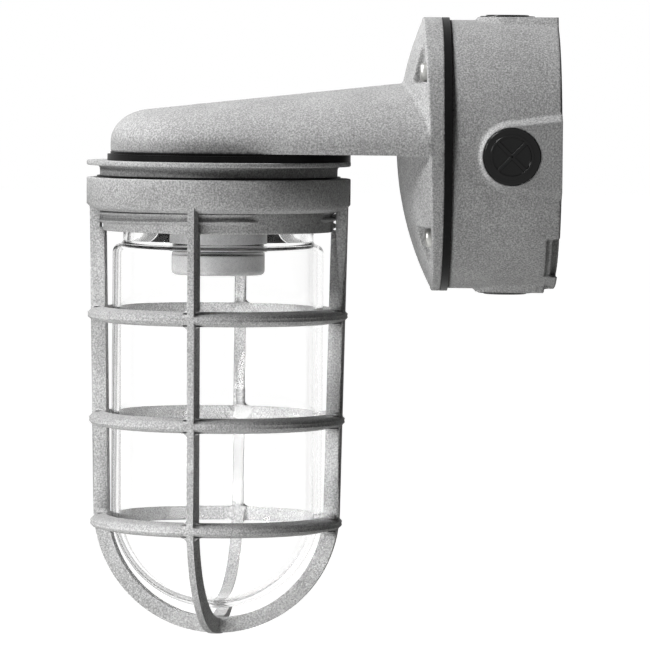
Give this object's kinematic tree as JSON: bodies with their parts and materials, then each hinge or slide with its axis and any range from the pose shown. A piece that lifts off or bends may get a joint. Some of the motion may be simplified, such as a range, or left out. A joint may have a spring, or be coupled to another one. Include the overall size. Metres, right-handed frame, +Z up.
{
  "type": "cage wall light",
  "caption": "Vapour-tight wall light: round junction box, domed cover with a cast arm, clear glass globe and a ribbed screw-on guard hanging from the arm's end.",
  "frame": {"origin": "centre of the wall screws' circle in the junction box's back face, on the wall plane", "axes": "+Z up, +Y into the wall, so the arm stands out along -Y, +X to the side of the pictured plug"},
  "size_m": [0.1186, 0.1992, 0.2644],
  "materials": {
    "painted_casting": "silver-grey sand-textured powder paint on cast aluminium",
    "black_rubber": "matt moulded rubber",
    "clear_glass": "clear pressed glass",
    "black_plug": "black moulded plug",
    "grey_porcelain": "satin grey porcelain",
    "brass": "bright stamped brass",
    "steel_screw": "stainless steel",
    "dark_screw": "black oxide steel",
    "green_screw": "green-coated steel",
    "black_lead": "insulated wire",
    "white_lead": "insulated wire",
    "green_lead": "insulated wire"
  },
  "bodies": {
    "fixture": {"junction_box": "painted_casting", "wall_bracket": "painted_casting", "lamp_body": "painted_casting", "closure_plug_near": "black_plug", "closure_plug_far": "black_plug", "closure_plug_top": "black_plug", "closure_plug_bottom": "black_plug", "box_gasket": "black_rubber", "head_gasket": "black_rubber", "lampholder_seal": "black_rubber", "lampholder_body": "grey_porcelain", "lampholder_ring": "grey_porcelain", "screw_shell": "brass", "centre_contact": "brass", "terminal_screws": "brass", "cover_screws": "steel_screw", "body_screws": "steel_screw", "lampholder_screws": "steel_screw", "ground_screw": "green_screw", "lead_black": "black_lead", "lead_white": "white_lead", "lead_ground": "green_lead"},
    "guard_slip_ring": {"guard_washer": "black_rubber"},
    "guard": {"cage_guard": "painted_casting", "guard_set_screw": "dark_screw"},
    "globe_seat": {"globe_gasket": "black_rubber"},
    "globe": {"glass_globe": "clear_glass"}
  },
  "joints": [
    {"name": "guard_drop", "type": "slide", "parent": "fixture", "child": "guard_slip_ring", "axis": [0, 0, -1], "range_m": [0, 0.0064]},
    {"name": "guard_turn", "type": "hinge", "parent": "guard_slip_ring", "child": "guard", "pos_m": [0, -0.1431, -0.02], "axis": [0, 0, -1], "range_deg": [0, 720]},
    {"name": "globe_drop", "type": "slide", "parent": "fixture", "child": "globe_seat", "axis": [0, 0, -1], "range_m": [0, 0.0032]},
    {"name": "globe_turn", "type": "hinge", "parent": "globe_seat", "child": "globe", "pos_m": [0, -0.1431, -0.02], "axis": [0, 0, -1], "range_deg": [0, 360]}
  ],
  "couplings": [
    {"joint": "guard_drop", "follows": "guard_turn", "m_per_rad": 0.00050532},
    {"joint": "globe_drop", "follows": "globe_turn", "m_per_rad": 0.00050532}
  ]
}
